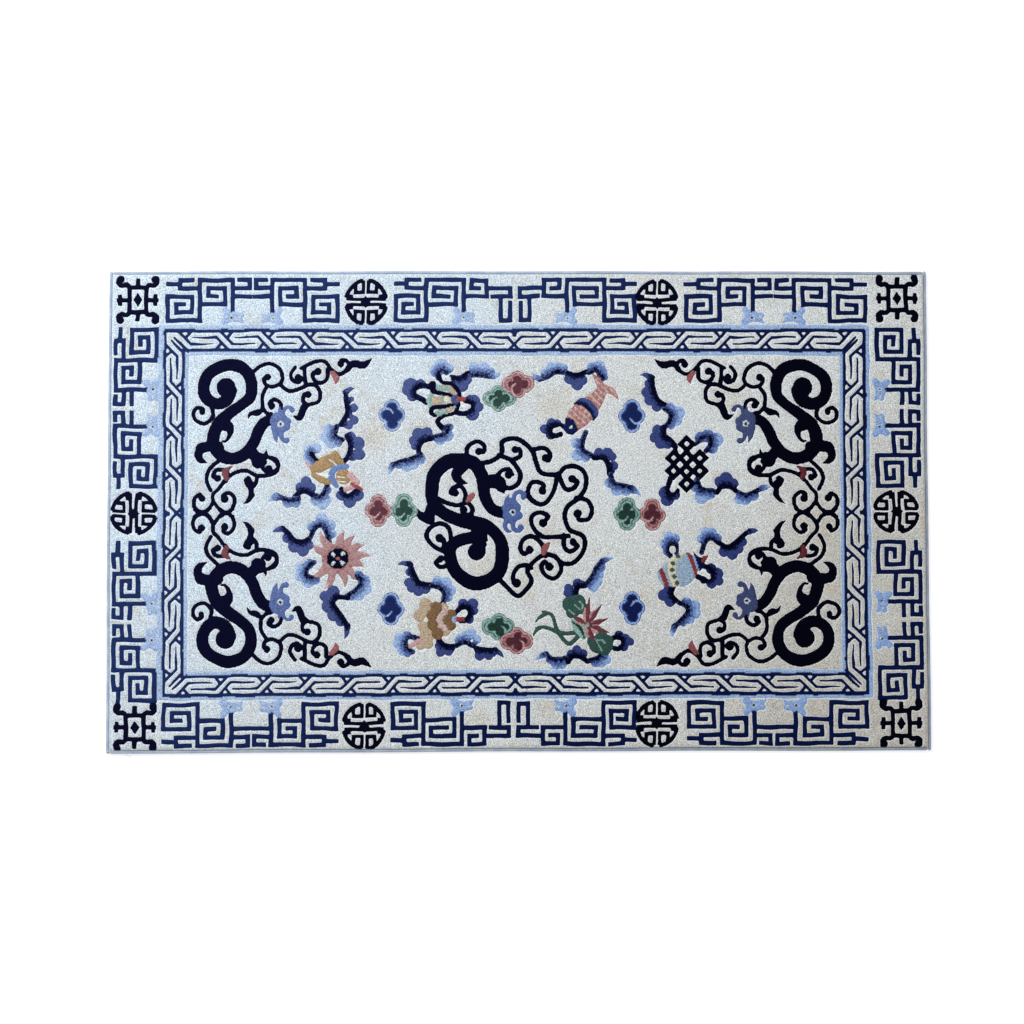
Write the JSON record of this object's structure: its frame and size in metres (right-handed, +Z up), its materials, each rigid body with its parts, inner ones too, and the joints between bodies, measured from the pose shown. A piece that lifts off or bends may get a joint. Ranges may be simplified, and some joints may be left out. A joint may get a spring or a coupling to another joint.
{
  "type": "chinese silk rug",
  "caption": "Flat rectangular knotted rug with carved scrolls, ribbons and fret borders in blues on an ivory ground, with an overcast edge binding.",
  "frame": {"origin": "on the floor under the middle of the rug", "axes": "+X along the rug's long side, +Y towards its top edge in the picture, +Z up out of the pile"},
  "size_m": [1.5498, 0.9053, 0.0124],
  "materials": {
    "ivory_silk_pile": "cut silk pile, patterned in navy, blues, rose, green and gold, with a soft sheen",
    "sky_blue_overcast": "twisted yarn sewn over the edge"
  },
  "bodies": {
    "root": {"rug_pile": "ivory_silk_pile", "binding_left": "sky_blue_overcast", "binding_right": "sky_blue_overcast", "binding_top": "sky_blue_overcast", "binding_bottom": "sky_blue_overcast"}
  },
  "joints": []
}
